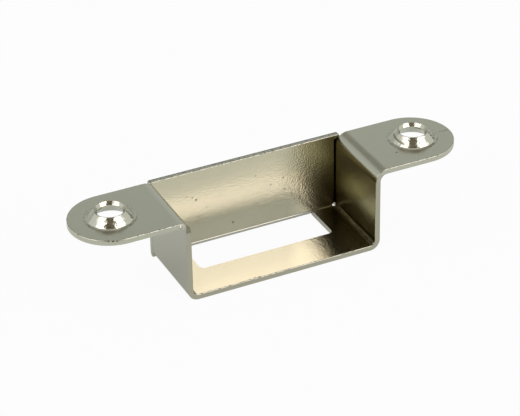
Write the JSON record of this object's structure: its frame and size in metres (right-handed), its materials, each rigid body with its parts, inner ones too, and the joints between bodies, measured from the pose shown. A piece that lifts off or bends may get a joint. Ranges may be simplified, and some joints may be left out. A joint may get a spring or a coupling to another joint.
{
  "type": "box strike plate",
  "caption": "Box strike plate folded from nickel plated sheet steel: slotted floor, raised back wall and round ears with dimpled screw holes; it holds the bolt of a rim lock.",
  "frame": {"origin": "on the underside of the floor, midway between the screw holes", "axes": "+X along the line of the screw holes, +Y from the open front to the back wall, +Z from the underside of the floor to the mounting faces of the ears"},
  "size_m": [0.077, 0.0172, 0.0185],
  "materials": {
    "nickel_plate": "satin nickel plate with a warm tint, polished on the dimples"
  },
  "bodies": {
    "root": {"strike_plate": "nickel_plate"}
  },
  "joints": []
}
